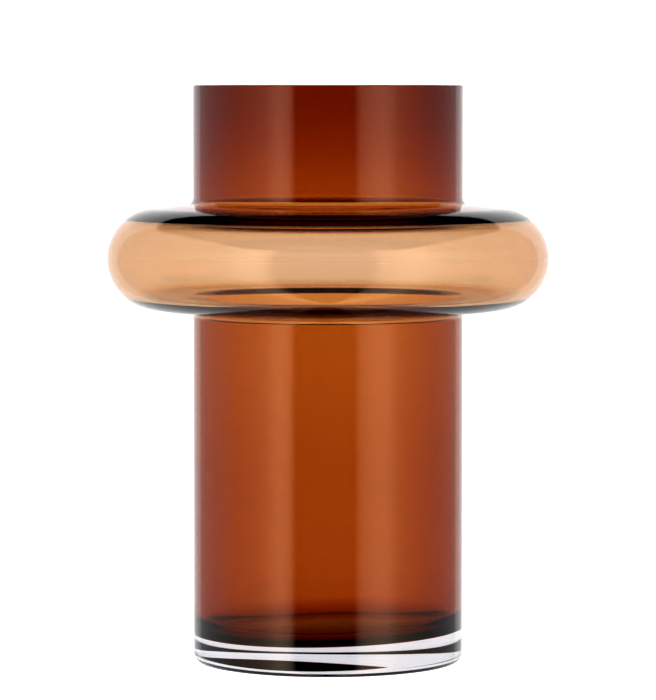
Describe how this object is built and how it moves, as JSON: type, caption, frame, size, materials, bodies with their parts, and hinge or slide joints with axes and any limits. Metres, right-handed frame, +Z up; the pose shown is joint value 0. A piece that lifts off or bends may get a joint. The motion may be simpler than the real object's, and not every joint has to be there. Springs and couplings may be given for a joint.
{
  "type": "glass flower vase",
  "caption": "Straight cylinder vase of cased amber glass with a wide open mouth, a hollow ring blown out below the rim, and a thick clear heel.",
  "frame": {"origin": "centre of the flat base", "axes": "+Z up the vase's axis and out of the mouth; the vase is round, so X and Y may point any way"},
  "size_m": [0.1534, 0.1534, 0.2],
  "materials": {
    "clear_casing": "clear, fire-polished, glossy",
    "amber_lining": "transparent amber, glossy"
  },
  "bodies": {
    "root": {"clear_neck": "clear_casing", "clear_ring_crown": "clear_casing", "clear_ring_belly": "clear_casing", "clear_body": "clear_casing", "clear_heel": "clear_casing", "amber_neck": "amber_lining", "amber_ring_crown": "amber_lining", "amber_ring_belly": "amber_lining", "amber_body": "amber_lining", "amber_floor": "amber_lining"}
  },
  "joints": []
}
